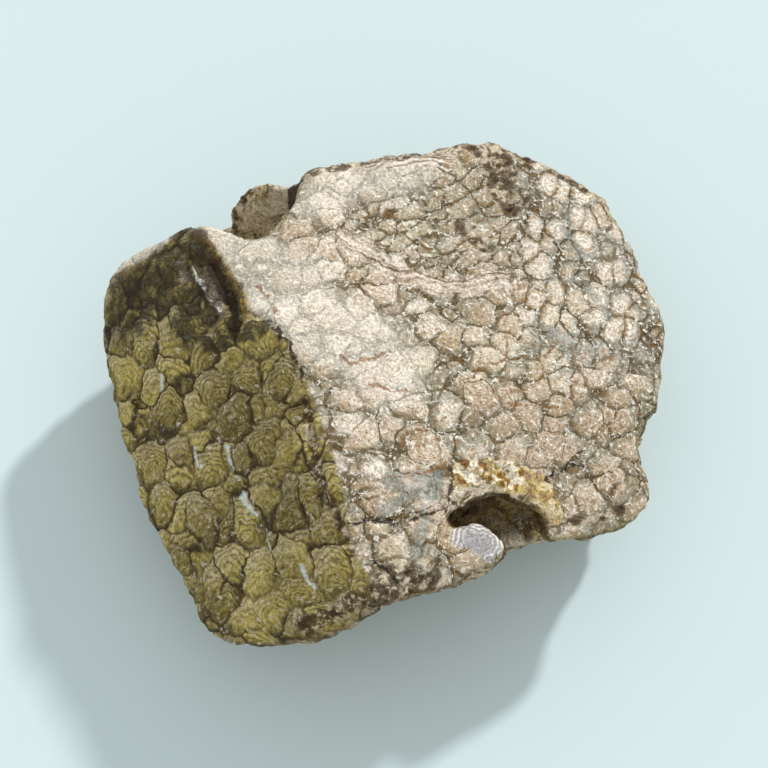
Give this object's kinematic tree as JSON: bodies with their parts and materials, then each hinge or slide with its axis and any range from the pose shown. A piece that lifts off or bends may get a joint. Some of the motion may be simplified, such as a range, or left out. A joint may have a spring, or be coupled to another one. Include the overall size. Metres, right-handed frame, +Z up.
{
  "type": "fossil algal limestone block",
  "caption": "Broken block of fossil chlorellopsis algae: a level fracture across the rounded algal heads, a steep one along them, and a small crystal-lined hollow.",
  "frame": {"origin": "centre of the box's underside, on the flat base that the block lies on", "axes": "+X along the block's longest side, to the right in the picture; +Y away from the viewer, towards the back rim; +Z up"},
  "size_m": [0.1036, 0.0968, 0.0443],
  "materials": {
    "algal_limestone": "freshly broken, matt, unpolished"
  },
  "bodies": {
    "root": {"algal_limestone": "algal_limestone"}
  },
  "joints": []
}
